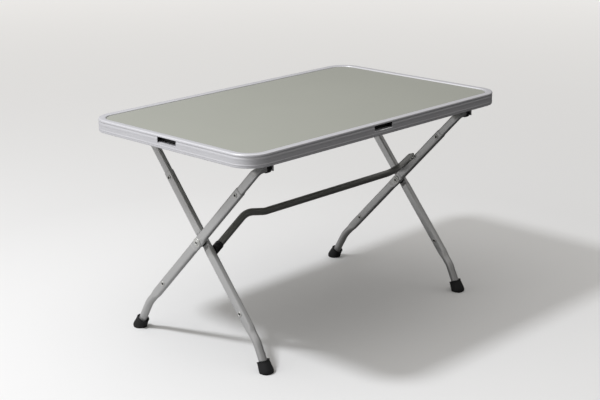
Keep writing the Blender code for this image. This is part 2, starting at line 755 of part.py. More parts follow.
def make_clips():
    """Saddle clips over the stub bushes: seat and rear wall, open to the front and below."""
    stub = FRAME_B.point(0, STUB_REACH)
    seat = stub.z + BUSH_RADIUS + GAP
    rear = stub.y + BUSH_RADIUS + 0.0020
    for hand, leg_x in FRAME_B.planes.items():
        low_x = leg_x + CLIP_START
        high_x = leg_x + CLIP_END
        low_z = stub.z - CLIP_DEPTH
        y_low = stub.y - CLIP_FRONT
        shape = box((low_x, y_low, low_z), (high_x, rear + CLIP_WALL, RAIL_UNDER))
        clip = add_object(f"stub_clip_{hand}", shape, "grey_paint")
        hollow = box((low_x - 0.01, y_low - 0.01, low_z - 0.01), (high_x - CLIP_WALL, rear, seat))
        cut(clip, f"stub_clip_{hand}_hollow", hollow)


def main():
    clear_scene()
    hinge = FRAME_A.point(0, HINGE_REACH)
    frame_a_axis = add_empty("frame_a_axis", hinge)
    frame_b_axis = add_empty("frame_b_axis", Vector((0, *PIVOT)))
    make_rim()
    make_panel()
    make_pockets()
    make_rails()
    make_brackets()
    make_clips()
    make_lower_tubes(FRAME_A, frame_a_axis)
    make_lower_tubes(FRAME_B, frame_b_axis)
    make_upper_tubes_a(frame_a_axis)
    make_upper_tubes_b(frame_b_axis)
    for frame, axis in ((FRAME_A, frame_a_axis), (FRAME_B, frame_b_axis)):
        make_rivets(frame, axis)
        make_foot_caps(frame, axis)
    make_pivots(frame_a_axis)
    make_crossbar(frame_b_axis)
    make_bar_plug(frame_b_axis)


main()
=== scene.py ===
# A folding table: a laminate panel in a bent metal rim on two crossed, folding leg frames.
import math

import bmesh
import bpy
import numpy as np
from mathutils import Matrix, Vector
from mathutils.geometry import tessellate_polygon


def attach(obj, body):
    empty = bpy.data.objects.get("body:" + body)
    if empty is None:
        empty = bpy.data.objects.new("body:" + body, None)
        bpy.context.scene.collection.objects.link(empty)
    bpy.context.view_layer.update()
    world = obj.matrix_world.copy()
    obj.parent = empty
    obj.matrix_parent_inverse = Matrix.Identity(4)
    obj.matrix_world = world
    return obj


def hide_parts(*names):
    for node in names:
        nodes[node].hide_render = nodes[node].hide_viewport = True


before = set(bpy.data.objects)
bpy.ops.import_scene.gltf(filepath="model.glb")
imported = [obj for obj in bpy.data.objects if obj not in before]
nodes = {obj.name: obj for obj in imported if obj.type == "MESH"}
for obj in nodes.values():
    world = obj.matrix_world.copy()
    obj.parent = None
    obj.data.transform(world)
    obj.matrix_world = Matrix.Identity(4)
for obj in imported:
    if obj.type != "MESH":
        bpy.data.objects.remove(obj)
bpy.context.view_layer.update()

xAxis, _, zAxis = np.eye(3)
print("frame loaded:", len(nodes), "nodes")


view = {
    "place": (-2.9289, -2.8282, 1.6181),
    "right": (0.69478, -0.71918, -0.00834),
    "up": (0.21485, 0.19647, 0.95668),
    "back": (-0.68639, -0.66647, 0.29102),
    "lens": 78.86,
    "sensor": 36.0,
}
light = {
    "keyPlace": (-1.91, 0.71, 3.37),
    "keyTarget": (0.0, 0.0, 0.70),
    "keyPower": 78.0,
    "keyTint": (0.985, 1.0, 1.03),
    "skyTint": (1.0, 0.982, 0.955),
    "keyWidth": 0.46,
    "backdrop": 0.80,
    "around": 0.05,
    "above": 0.92,
    "leftFrom": (-0.86, 0.30, 0.41),
    "left": 0.80,
    "floorSeen": 0.815,
    "farLift": 0.58,  # how much lighter the floor is drawn far away
    "farFrom": 1.5,
    "farRise": 0.16,
    "floorBounce": 0.07,
    "bounceLeft": 0.52,
    "bounceFrom": 0.4,
    "bounceRise": 0.9,
    "brightSide": (-0.75, 0.65, 0.0),
}


class Value:
    # One output socket. Sums and products of numbers add Math nodes, and those of vectors Vector Math nodes.
    def __init__(self, graph, socket):
        self.graph = graph
        self.socket = socket

    def combine(self, operation, first, second):
        # Two values joined by one Math or Vector Math operation.
        vector = any(isinstance(v, Value) and v.socket.type in ("VECTOR", "RGBA") for v in (first, second))
        kind = "ShaderNodeVectorMath" if vector else "ShaderNodeMath"
        return self.graph.node(kind, {"operation": operation}, {0: first, 1: second})

    def __add__(self, other):
        return self.combine("ADD", self, other)

    def __radd__(self, other):
        return self.combine("ADD", other, self)

    def __sub__(self, other):
        return self.combine("SUBTRACT", self, other)

    def __rsub__(self, other):
        return self.combine("SUBTRACT", other, self)

    def __mul__(self, other):
        return self.combine("MULTIPLY", self, other)

    def __rmul__(self, other):
        return self.combine("MULTIPLY", other, self)

    def __pow__(self, other):
        return self.combine("POWER", self, other)

    def atLeast(self, low):
        return self.combine("MAXIMUM", self, low)

    def atMost(self, high):
        return self.combine("MINIMUM", self, high)


class Graph:
    # The nodes of one material or world.
    def __init__(self, owner):
        owner.use_nodes = True
        self.tree = owner.node_tree

    def node(self, kind, settings=None, inputs=None, output=0):
        # A new node of a type: its settings first, then its inputs; returns one output.
        made = self.tree.nodes.new(kind)
        for key, value in (settings or {}).items():
            setattr(made, key, value)
        for key, value in (inputs or {}).items():
            self.feed(made.inputs[key], value)
        return Value(self, made.outputs[output]) if made.outputs else None

    def dot(self, first, second):
        # The dot product of two vectors.
        inputs = {0: first, 1: second}
        return self.node("ShaderNodeVectorMath", {"operation": "DOT_PRODUCT"}, inputs, "Value")

    def grey(self, amount):
        # A vector with one amount three times.
        return self.node("ShaderNodeCombineXYZ", None, {0: amount, 1: amount, 2: amount})

    def feed(self, socket, value):
        # Links a value to a socket, or sets a constant on it.
        if isinstance(value, Value):
            self.tree.links.new(value.socket, socket)
        elif socket.type == "RGBA" and len(value) == 3:
            socket.default_value = (*value, 1.0)
        else:
            socket.default_value = value


def setCamera():
    # A camera whose matrix's columns are its right, up and back directions and its place.
    camera = bpy.data.cameras.new("camera")
    thing = bpy.data.objects.new("camera", camera)
    bpy.context.scene.collection.objects.link(thing)
    columns = [view["right"], view["up"], view["back"], view["place"]]
    rows = [[*column, float(k == 3)] for k, column in enumerate(columns)]
    thing.matrix_world = Matrix(rows).transposed()
    camera.lens = view["lens"]
    camera.sensor_width = view["sensor"]
    camera.clip_end = 200
    bpy.context.scene.camera = thing


def setLight():
    # A disk lamp; a sky of around + above z^2 + left (direction . leftFrom)^4;
    # and a floor that looks paler than the light it throws back.
    scene = bpy.context.scene
    scene.view_settings.view_transform = "Standard"
    lamp = bpy.data.lights.new("key", "AREA")
    lamp.shape = "DISK"
    lamp.energy = light["keyPower"]
    lamp.color = light["keyTint"]
    lamp.size = light["keyWidth"]
    key = bpy.data.objects.new("key", lamp)
    place = Vector(light["keyPlace"])
    away = place - Vector(light["keyTarget"])
    key.matrix_world = Matrix.Translation(place) @ away.to_track_quat("Z", "Y").to_matrix().to_4x4()
    scene.collection.objects.link(key)

    world = bpy.data.worlds.new("studio")
    scene.world = world
    graph = Graph(world)
    tree = graph.tree
    tree.nodes.clear()
    direction = graph.node("ShaderNodeTexCoord", output="Generated")
    height = graph.dot(direction, (0, 0, 1))
    leftward = graph.dot(direction, light["leftFrom"])
    above = height.atLeast(0.0) ** 2.0
    left = leftward.atLeast(0.0) ** 4.0
    soft = light["around"] + above * light["above"] + left * light["left"]
    seen = graph.node("ShaderNodeLightPath", output="Is Camera Ray")
    strength = soft + (light["backdrop"] - soft) * seen
    shown = graph.node("ShaderNodeBackground", None, {"Color": light["skyTint"], "Strength": strength})
    graph.node("ShaderNodeOutputWorld", None, {"Surface": shown})

    size = 60.0
    mesh = bpy.data.meshes.new("floor")
    corners = np.array([(-1, -1, 0), (1, -1, 0), (1, 1, 0), (-1, 1, 0)]) * size
    mesh.from_pydata(corners.tolist(), [], [(0, 1, 2, 3)])
    floor = bpy.data.objects.new("floor", mesh)
    scene.collection.objects.link(floor)
    material = bpy.data.materials.new("paleFloor")
    graph = Graph(material)
    seen = graph.node("ShaderNodeLightPath", output="Is Camera Ray")
    where = graph.node("ShaderNodeTexCoord", output="Object")
    far = graph.node("ShaderNodeVectorMath", {"operation": "LENGTH"}, {0: where}, "Value")
    far = ((far - light["farFrom"]) * light["farRise"]).atLeast(0.0).atMost(1.0)
    drawn = (far * light["farLift"] + 1.0) * light["floorSeen"]
    leftBack = graph.dot(where, light["brightSide"])
    share = ((leftBack + light["bounceFrom"]) * light["bounceRise"]).atLeast(0.0).atMost(1.0)
    thrown = light["floorBounce"] + share * light["bounceLeft"]
    colours = {0: seen, 6: graph.grey(thrown), 7: graph.grey(drawn)}
    tone = graph.node("ShaderNodeMix", {"data_type": "RGBA"}, colours, 2)
    shader = graph.tree.nodes["Principled BSDF"]
    graph.feed(shader.inputs["Base Color"], tone)
    shader.inputs["Roughness"].default_value = 1.0
    shader.inputs["Specular IOR Level"].default_value = 0.0
    below = graph.node("ShaderNodeNewGeometry", output="Backfacing")
    clear = graph.node("ShaderNodeBsdfTransparent")
    lit = Value(graph, shader.outputs["BSDF"])
    both = graph.node("ShaderNodeMixShader", None, {0: below, 1: lit, 2: clear})
    graph.feed(graph.tree.nodes["Material Output"].inputs["Surface"], both)
    mesh.materials.append(material)


def grid(points, along=None, across=None, closeAlong=False, closeAcross=False, keep=None):
    # A surface on a grid of points (rows along, columns across), with its corners' map in metres.
    rows, columns = points.shape[:2]
    i, j = np.meshgrid(
        np.arange(rows if closeAlong else rows - 1),
        np.arange(columns if closeAcross else columns - 1),
        indexing="ij",
    )
    if keep is not None:
        i, j = i[keep], j[keep]
    i, j = i.ravel(), j.ravel()
    cornerI = np.stack([i, i, i + 1, i + 1], axis=1)
    cornerJ = np.stack([j, j + 1, j + 1, j], axis=1)
    quads = (cornerI % rows) * columns + cornerJ % columns
    if along is None:
        along = np.arange(rows + 1) * 0.001
    if across is None:
        across = np.arange(columns + 1) * 0.001
    spots = np.stack([along[cornerI], across[cornerJ]], axis=-1)
    return {"points": points.reshape(-1, 3), "quads": quads, "spots": spots}


def fan(ring, centre, turnOver=False, spot=0.0):
    # Closes a ring of points with triangles to its centre, which all lie at one place on the map.
    count = len(ring)
    k = np.arange(count)
    faces = np.stack([k, (k + 1) % count, np.full(count, count)], axis=1)
    if turnOver:
        faces = faces[:, ::-1]
    points = np.vstack([ring, [centre]])
    return {"points": points, "tris": faces, "triSpots": np.full((count, 3, 2), spot)}


def makePiece(name, surfaces, finish, body, replaces, sharp=34, bevel=None):
    # Joins surfaces into one mesh, welds their shared edges and turns the faces outwards.
    points, quads, spots, tris, triSpots, start = [], [], [], [], [], 0
    for surface in surfaces:
        points.append(surface["points"])
        if "quads" in surface:
            quads.append(surface["quads"] + start)
            spots.append(surface["spots"])
        if "tris" in surface:
            tris.append(surface["tris"] + start)
            triSpots.append(surface["triSpots"])
        start += len(surface["points"])
    flat = [np.vstack(part).reshape(-1) for part in (quads, tris) if part]
    sizes = np.concatenate([np.full(sum(map(len, part)), n) for part, n in ((quads, 4), (tris, 3)) if part])
    allSpots = np.vstack([np.vstack(part).reshape(-1, 2) for part in (spots, triSpots) if part])
    mesh = bpy.data.meshes.new(name)
    corners = np.concatenate(flat)
    mesh.vertices.add(start)
    mesh.vertices.foreach_set("co", np.vstack(points).astype(np.float32).ravel())
    mesh.loops.add(len(corners))
    mesh.loops.foreach_set("vertex_index", corners.astype(np.int32))
    mesh.polygons.add(len(sizes))
    mesh.polygons.foreach_set("loop_start", np.concatenate([[0], np.cumsum(sizes)[:-1]]).astype(np.int32))
    mesh.uv_layers.new(name="lengths")
    mesh.update(calc_edges=True)
    mesh.uv_layers["lengths"].data.foreach_set("uv", allSpots.astype(np.float32).ravel())
    tidy = bmesh.new()
    tidy.from_mesh(mesh)
    bmesh.ops.remove_doubles(tidy, verts=tidy.verts, dist=0.00001)
    bmesh.ops.recalc_face_normals(tidy, faces=tidy.faces)
    tidy.to_mesh(mesh)
    tidy.free()
    mesh.shade_smooth()
    mesh.set_sharp_from_angle(angle=math.radians(sharp))
    thing = bpy.data.objects.new(name, mesh)
    bpy.context.scene.collection.objects.link(thing)
    mesh.materials.append(finishes[finish])
    if bevel:
        rounding = thing.modifiers.new("rounding", "BEVEL")
        rounding.width = bevel
        rounding.segments = 2
        rounding.limit_method = "ANGLE"
        rounding.angle_limit = math.radians(40)
    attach(thing, body)
    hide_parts(*replaces)


def smooth(value, low, high):
    # 0 below low, 1 above high, and a smooth step between.
    share = np.clip((value - low) / (high - low), 0.0, 1.0)
    return share * share * (3 - 2 * share)


def lengths(points):
    # Length along a line of points up to each: the running sum of its steps.
    return np.concatenate([[0.0], np.cumsum(np.linalg.norm(np.diff(points, axis=0), axis=1))])


def unit(vector):
    # A vector over its own length.
    return vector / np.linalg.norm(vector, axis=-1, keepdims=True)


girth = {"tube": 0.08, "turned": 0.05, "foot": 0.12}  # lengths round a section, for the maps


def bentPath(corners, radii, step=0.003):
    # A line through corners, each turned on an arc of its own radius, with points about a step apart.
    corners = np.array(corners, float)
    pieces = [corners[:1]]
    for before, corner, after, radius in zip(corners, corners[1:], corners[2:], radii):
        incoming, outgoing = unit(before - corner), unit(after - corner)
        half = math.acos(float(np.clip(incoming @ outgoing, -1, 1))) / 2
        reach = radius / math.tan(half)
        middle = corner + unit(incoming + outgoing) * radius / math.sin(half)
        spokeIn, spokeOut = corner + incoming * reach - middle, corner + outgoing * reach - middle
        turn = math.pi - 2 * half
        share = np.linspace(0, 1, max(4, int(turn * radius / step)))[:, None]
        spokes = spokeIn * np.sin((1 - share) * turn) + spokeOut * np.sin(share * turn)
        pieces.append(middle + spokes / math.sin(turn))
    pieces.append(corners[-1:])
    rough = np.vstack(pieces)
    gone = lengths(rough)
    places = np.union1d(np.arange(0, gone[-1], step), gone)
    places = places[np.concatenate([[True], np.diff(places) > step * 0.05])]
    return np.stack([np.interp(places, gone, rough[:, k]) for k in range(3)], axis=1)


def carried(path, side):
    # Side and depth directions along a path, turned only as far as the path turns.
    tangents = unit(np.gradient(path, axis=0))
    sides = [unit(side - tangents[0] * (side @ tangents[0]))]
    for tangent in tangents[1:]:
        sides.append(unit(sides[-1] - tangent * (sides[-1] @ tangent)))
    sides = np.array(sides)
    return sides, np.cross(tangents, sides)


def ovals(centres, sides, depths, halfSide, halfDepth, power, count=48):
    # Superellipses round the centres: |x/a|^p + |y/b|^p = 1, where power 2 is an ellipse.
    turn = (np.arange(count) + 0.5) * math.tau / count
    power = np.broadcast_to(power, len(centres))[:, None]
    cosine, sine = np.cos(turn)[None], np.sin(turn)[None]
    halfSide = np.broadcast_to(halfSide, len(centres))[:, None]
    halfDepth = np.broadcast_to(halfDepth, len(centres))[:, None]
    across = halfSide * np.sign(cosine) * np.abs(cosine) ** (2 / power)
    through = halfDepth * np.sign(sine) * np.abs(sine) ** (2 / power)
    return centres[:, None] + across[..., None] * sides[:, None] + through[..., None] * depths[:, None]


def tubeSurfaces(path, side, section, wall=0.0012, count=48, lip=0.0006):
    # A tube with a wall along a path: outside and inside, joined at both ends over a rounded lip.
    sides, depths = carried(path, side)
    gone = lengths(path)
    halfSide, halfDepth, power = section(gone)
    fromEnd = np.minimum(gone, gone[-1] - gone)
    rounding = lip * (1 - np.sqrt(np.clip(1 - (1 - np.clip(fromEnd / lip, 0, 1)) ** 2, 0, 1)))
    outside = ovals(path, sides, depths, halfSide - rounding, halfDepth - rounding, power, count)
    inside = ovals(path, sides, depths, halfSide - wall, halfDepth - wall, power, count)[::-1]
    walls = np.concatenate([outside, inside])
    along = np.concatenate([gone, gone[::-1], gone[:1]])
    around = np.linspace(0, girth["tube"], count + 1)
    return [grid(walls, along, around, closeAlong=True, closeAcross=True)]


def turned(centre, axis, profile, count=32):
    # A profile of (distance along the axis, radius) turned round it; its two ends are closed.
    axis = unit(np.array(axis, float))
    first = unit(np.cross(axis, zAxis if abs(axis[2]) < 0.9 else xAxis))
    second = np.cross(axis, first)
    profile = np.array(profile, float)
    centres = np.array(centre, float) + profile[:, :1] * axis
    rings = ovals(
        centres, np.tile(first, (len(profile), 1)), np.tile(second, (len(profile), 1)),
        profile[:, 1], profile[:, 1], 2.0, count,
    )
    gone = lengths(profile)
    body = grid(rings, gone, np.linspace(0, girth["turned"], count + 1), closeAcross=True)
    return [body, fan(rings[0], centres[0]), fan(rings[-1], centres[-1], True, gone[-1])]


paint = {
    "panel": (0.340, 0.346, 0.308),
    "panelRoughness": 0.55,
    "rim": (0.720, 0.720, 0.755),
    "rimMetallic": 0.40,
    "rimRoughness": 0.40,
    "streaks": (6.0, 900.0, 1.0),  # streaks to the metre, round the section and along the rim
    "legs": (0.560, 0.560, 0.560),
    "legRoughness": 0.36,
    "legMetallic": 0.60,
    # the bar's colour is the leg paint made darker and warmer: painted shade for the shade the bar sits in
    # under the top
    "bar": (0.300, 0.300, 0.290),
    "zinc": (0.640, 0.640, 0.620),
    "zincRoughness": 0.34,
    "boreShade": 0.0003,  # how far out from the edge of a rivet's hole's bottom it stays dark: painted shade in the hole
    "plastic": (0.012, 0.012, 0.013),
    "rubber": (0.016, 0.016, 0.017),
}


def newFinish(name):
    # An empty finish, with its graph and its Principled shader's inputs.
    material = bpy.data.materials.new(name)
    graph = Graph(material)
    return material, graph, graph.tree.nodes["Principled BSDF"].inputs


def noise(graph, where, scale, detail=2.0, roughness=0.5):
    # A noise value round a half, with a number of features to the metre.
    inputs = {"Vector": where, "Scale": scale, "Detail": detail, "Roughness": roughness}
    return graph.node("ShaderNodeTexNoise", None, inputs, "Fac")


def shaded(graph, colour, amount):
    # The colour times an amount that varies round 1.
    return graph.grey(amount) * colour


def bump(graph, inputs, height, strength, distance):
    # Tilts the surface by a height, so that it catches light like fine relief.
    settings = {"Height": height, "Strength": strength, "Distance": distance}
    graph.feed(inputs["Normal"], graph.node("ShaderNodeBump", None, settings, "Normal"))


def laminate():
    # Matte melamine: faint clouds, a fine speckle and a shallow grain.
    material, graph, inputs = newFinish("panelLaminate")
    where = graph.node("ShaderNodeTexCoord", output="Object")
    clouds = noise(graph, where, 3.5, 3.0)
    speckle = noise(graph, where, 900.0, 1.0)
    grain = noise(graph, where, 420.0, 2.0)
    amount = 0.955 + clouds * 0.05 + speckle * 0.04
    graph.feed(inputs["Base Color"], shaded(graph, paint["panel"], amount))
    graph.feed(inputs["Roughness"], paint["panelRoughness"] - 0.05 + grain * 0.10)
    inputs["Specular IOR Level"].default_value = 0.35
    bump(graph, inputs, grain, 0.12, 0.0004)
    return material


def rolledMetal():
    # Rolled aluminium: fine streaks along the rim, read from lengths along it and round its section.
    material, graph, inputs = newFinish("rimMetal")
    where = graph.node("ShaderNodeUVMap", {"uv_map": "lengths"})
    streaks = noise(graph, where * paint["streaks"], 1.0, 3.0, 0.6)
    clouds = noise(graph, where, 9.0, 2.0)
    amount = 0.93 + streaks * 0.06 + clouds * 0.08
    graph.feed(inputs["Base Color"], shaded(graph, paint["rim"], amount))
    graph.feed(inputs["Roughness"], paint["rimRoughness"] - 0.08 + streaks * 0.16)
    graph.feed(inputs["Metallic"], paint["rimMetallic"])
    bump(graph, inputs, streaks, 0.03, 0.0002)
    return material


def sprayedPaint(name, colour, roughness, metallic):
    # Silver paint on steel tube: flakes, a soft orange peel and slightly worn patches.
    material, graph, inputs = newFinish(name)
    where = graph.node("ShaderNodeTexCoord", output="Object")
    peel = noise(graph, where, 260.0, 1.0)
    flakes = noise(graph, where, 2600.0, 0.0)
    worn = noise(graph, where, 14.0, 3.0)
    amount = 0.91 + flakes * 0.10 + worn * 0.08
    graph.feed(inputs["Base Color"], shaded(graph, colour, amount))
    graph.feed(inputs["Roughness"], roughness - 0.07 + worn * 0.14)
    graph.feed(inputs["Metallic"], metallic)
    bump(graph, inputs, peel, 0.10, 0.0003)
    return material


def zincPlate(name, holeShaded=False):
    # Zinc plating: cloudy crystals and dull patches; a bored piece gets painted shade that darkens down its
    # hole.
    material, graph, inputs = newFinish(name)
    where = graph.node("ShaderNodeTexCoord", output="Object")
    clouds = noise(graph, where, 60.0, 3.0)
    fine = noise(graph, where, 900.0, 1.0)
    amount = 0.86 + clouds * 0.18 + fine * 0.08
    if holeShaded:
        # painted shade: the hole's bottom and the first band up its side are darkened, standing in for the
        # shade in the recess
        lengthwise = graph.node("ShaderNodeUVMap", {"uv_map": "lengths"})
        depth = graph.node("ShaderNodeSeparateXYZ", None, {0: lengthwise}, "X")
        amount = amount * ((depth - paint["boreShade"]) * 1500.0).atLeast(0.02).atMost(1.0)
    graph.feed(inputs["Base Color"], shaded(graph, paint["zinc"], amount))
    graph.feed(inputs["Roughness"], paint["zincRoughness"] - 0.08 + clouds * 0.20)
    graph.feed(inputs["Metallic"], 0.55)
    bump(graph, inputs, fine, 0.08, 0.0002)
    return material


def blackMoulding(name, colour, roughness, grainScale, depth):
    # Moulded black: a fine grain, with dust that greys its broad patches.
    material, graph, inputs = newFinish(name)
    where = graph.node("ShaderNodeTexCoord", output="Object")
    grain = noise(graph, where, grainScale, 2.0)
    dust = noise(graph, where, 35.0, 3.0)
    graph.feed(inputs["Base Color"], shaded(graph, colour, 0.75 + dust * 0.50))
    graph.feed(inputs["Roughness"], roughness - 0.10 + dust * 0.20)
    inputs["Specular IOR Level"].default_value = 0.35
    bump(graph, inputs, grain, depth, 0.0004)
    return material


setCamera()
setLight()
finishes = {
    "panel": laminate(),
    "rim": rolledMetal(),
    "legs": sprayedPaint("greyPaint", paint["legs"], paint["legRoughness"], paint["legMetallic"]),
    # painted shade: the bar takes a darker, warmer copy of the leg paint
    "bar": sprayedPaint("barShadedPaint", paint["bar"], paint["legRoughness"], paint["legMetallic"]),
    "zinc": zincPlate("zincPlate"),
    "rivet": zincPlate("zincRivet", holeShaded=True),
    "plastic": blackMoulding("blackPlastic", paint["plastic"], 0.42, 700.0, 0.10),
    "rubber": blackMoulding("blackRubber", paint["rubber"], 0.66, 420.0, 0.25),
}
print("light, camera and finishes made")


top = {
    "length": 1.150,
    "width": 0.710,
    "corner": 0.076,
    "base": 0.660,  # height of the rim's lower edge
    "slotWidth": 0.082,
    "slotLow": 0.0155,
    "slotHigh": 0.0340,
    "slots": {"front": -0.020, "back": 0.020, "left": -0.010, "right": 0.010},
    "wall": 0.0035,
    "joint": -0.0670,  # x of the seam in the front side
    "seamDepth": 0.0007,  # into the wall
    "seamFall": 0.0006,  # down from the crown
    "crown": (0.0118, 0.0112, 0.0400, 0.0017),  # middle, half width, height and fall at the edges
    "crownRows": 22,
    "cornerSteps": 24,
    "panelEdge": 0.0250,
    "panelRound": 0.0009,
    "panelTop": 0.6968,
    "panelUnder": 0.6908,
}


def outlineColumns():
    # Round the top: centre and outward direction of each column, whether it is in a slot, and its length.
    corner, halfX, halfY = top["corner"], top["length"] / 2, top["width"] / 2
    half = top["slotWidth"] / 2
    centres, normals, inSlot = [], [], []
    sides = (("back", 1, 1), ("left", -1, 1), ("front", -1, -1), ("right", 1, -1))
    for quarter, (name, signX, signY) in enumerate(sides):
        turn = (quarter + np.linspace(0, 1, top["cornerSteps"] + 1)) * math.pi / 2
        centre = np.array([signX * (halfX - corner), signY * (halfY - corner)])
        spokes = np.stack([np.cos(turn), np.sin(turn)], axis=1)
        centres.append(np.tile(centre, (len(turn), 1)))
        normals.append(spokes)
        inSlot.append(np.zeros(len(turn), bool))
        forward = np.array([-spokes[-1][1], spokes[-1][0]])  # towards the next corner
        reach = (halfX if name in ("back", "front") else halfY) - corner
        axis = 0 if name in ("back", "front") else 1
        slot = top["slots"][name]
        places = [slot - half, slot + half, *np.linspace(slot - half, slot + half, 9)[1:-1]]
        places += [*np.linspace(-reach, reach, 13)[1:-1]]
        if name == "front":
            places += [top["joint"] - 0.0004, top["joint"], top["joint"] + 0.0004]
        places = np.array(places) * forward[axis]
        slotPlace = slot * forward[axis]
        farFromSlot = np.abs(np.abs(places - slotPlace) - half) > 0.004
        edge = np.abs(np.abs(places - slotPlace) - half) < 1e-6
        places = np.unique(np.round(places[farFromSlot | edge], 6))
        centres.append(centre + (places[:, None] + reach) * forward)
        normals.append(np.tile(spokes[-1], (len(places), 1)))
        inSlot.append((places > slotPlace - half - 1e-5) & (places < slotPlace + half - 1e-5))
    centres, normals, inSlot = np.vstack(centres), np.vstack(normals), np.concatenate(inSlot)
    line = np.column_stack([centres + normals * corner, np.zeros(len(centres))])
    gone = lengths(np.vstack([line, line[:1]]))
    return centres, normals, inSlot, gone


def eased(at, knots, values):
    # Values between knots, with a smooth step from each to the next.
    k = np.clip(np.searchsorted(knots, at, side="right") - 1, 0, len(knots) - 2)
    low, high = np.array(knots)[k], np.array(knots)[k + 1]
    values = np.array(values)
    return values[k] + (values[k + 1] - values[k]) * smooth(at, low, high)


def rimRows():
    # Inset and height of the rim's section: beaded wall, crowned top, web, ledge, shelf and inside.
    heights = np.unique(np.concatenate([np.linspace(0.0006, 0.0382, 66), [top["slotLow"], top["slotHigh"]]]))
    knots = [0.0, 0.0030, 0.0052, 0.0085, 0.0115, 0.0205, 0.0255, 0.0312, 0.0352, 0.0382]
    insets = eased(heights, knots, [0.0016, 0.0006, 0.0009, 0.0, 0.0009, 0.0009, 0.0003, 0.0016, 0.0, 0.0010])
    outer = np.column_stack([insets, heights])
    across = np.linspace(0.0016, 0.0222, top["crownRows"])
    middle, half, height, fall = top["crown"]
    crown = height - fall * np.abs((across - middle) / half) ** 4
    crown = np.column_stack([across, crown])
    inside = np.array([
        (0.0230, 0.0376), (0.0230, 0.0310), (0.0232, 0.0305), (0.0378, 0.0305), (0.0380, 0.0303),
        (0.0380, 0.0282), (0.0378, 0.0280), (0.0232, 0.0280), (0.0230, 0.0278), (0.0230, 0.0157),
        (0.0228, 0.0155), (0.0060, 0.0155), (0.0060, 0.0170), (0.0205, 0.0170), (0.0205, 0.0373),
        (0.0035, 0.0373),
    ])
    slotRows = heights[(heights > top["slotLow"] - 1e-6) & (heights < top["slotHigh"] + 1e-6)][::-1]
    innerWall = np.column_stack([np.full(len(slotRows), top["wall"]), slotRows])
    lip = np.array([(0.0035, 0.0025), (0.0100, 0.0025), (0.0100, 0.0), (0.0026, 0.0)])
    before = [outer, crown, inside]
    return np.vstack([*before, innerWall, lip]), len(outer), sum(map(len, before))


def makeRim():
    # Each point lies out from the inner rectangle by the corner radius less its inset.
    centres, normals, inSlot, gone = outlineColumns()
    rows, outerCount, wallStart = rimRows()
    inset, height = rows[:, :1], rows[:, 1:]
    around = centres[None] + normals[None] * (top["corner"] - inset)[..., None]
    points = np.dstack([around, np.broadcast_to(height + top["base"], around.shape[:2])])
    seam = (np.abs(points[0, :, 0] - top["joint"]) < 0.0002) & (points[0, :, 1] < 0)
    crownEnd = outerCount + top["crownRows"]
    points[:crownEnd, seam, 1] += top["seamDepth"]
    points[outerCount:crownEnd, seam, 2] -= top["seamFall"]
    section = lengths(rows)
    section = np.append(section, section[-1] + 0.001)
    inRows = (rows[:, 1] > top["slotLow"] - 1e-6) & (rows[:, 1] < top["slotHigh"] - 1e-6)
    onOuter = np.arange(len(rows)) < outerCount
    innerCount = int(inRows[:outerCount].sum())
    onInner = np.zeros(len(rows), bool)
    onInner[wallStart: wallStart + innerCount] = True
    opened = ((inRows & onOuter) | onInner)[:, None] & inSlot[None]
    surfaces = [grid(points, section, gone, closeAlong=True, closeAcross=True, keep=~opened)]
    low = int(np.argmax(inRows))
    high = low + innerCount
    for run in slotRuns(inSlot):
        inner = points[wallStart: wallStart + innerCount + 1][::-1][:, run]
        outer = points[low: high + 1][:, run]
        for first, second in ((outer[0], inner[0]), (outer[-1], inner[-1])):
            surfaces.append(grid(np.stack([first, second])))
        for first, second in ((outer[:, 0], inner[:, 0]), (outer[:, -1], inner[:, -1])):
            surfaces.append(grid(np.stack([first, second])))
    makePiece("rimShell", surfaces, "rim", "top", ["rim"], sharp=38)


def slotRuns(inSlot):
    # Column numbers of each slot, with the column at its far edge.
    starts = np.flatnonzero(inSlot & ~np.roll(inSlot, 1))
    ends = np.flatnonzero(inSlot & ~np.roll(inSlot, -1))
    return [np.arange(first, last + 2) for first, last in zip(starts, ends)]


def makePanel():
    # A slab whose upper edge is rounded over and whose two faces are flat.
    centres, normals, _, gone = outlineColumns()
    thick = top["panelTop"] - top["panelUnder"]
    turn = np.linspace(0, math.pi / 2, 7)
    edge = top["panelRound"]
    insets = np.concatenate([[0.0], edge * (1 - np.cos(turn)), [0.004, 0.020, 0.045]]) + top["panelEdge"]
    heights = np.concatenate([[0.0], thick - edge + edge * np.sin(turn), [thick, thick, thick]])
    heights = heights + top["panelUnder"]
    around = centres[None] + normals[None] * (top["corner"] - insets)[:, None, None]
    points = np.dstack([around, np.broadcast_to(heights[:, None], around.shape[:2])])
    surfaces = [grid(points, lengths(points[:, 0]), gone, closeAcross=True)]
    for row, turnOver in ((points[0], False), (points[-1], True)):
        surfaces.append(fan(row, [0, 0, row[0, 2]], turnOver))
    makePiece("tableTop", surfaces, "panel", "top", ["table_panel"])


makeRim()
makePanel()
# The grip pockets take the near-black plastic finish: painted shade, a dark sheet standing in for the shade
# of the hollow behind each slot.
for side in top["slots"]:
    node = nodes["grip_pocket_" + side]
    node.data.materials.clear()
    node.data.materials.append(finishes["plastic"])
print("top made")


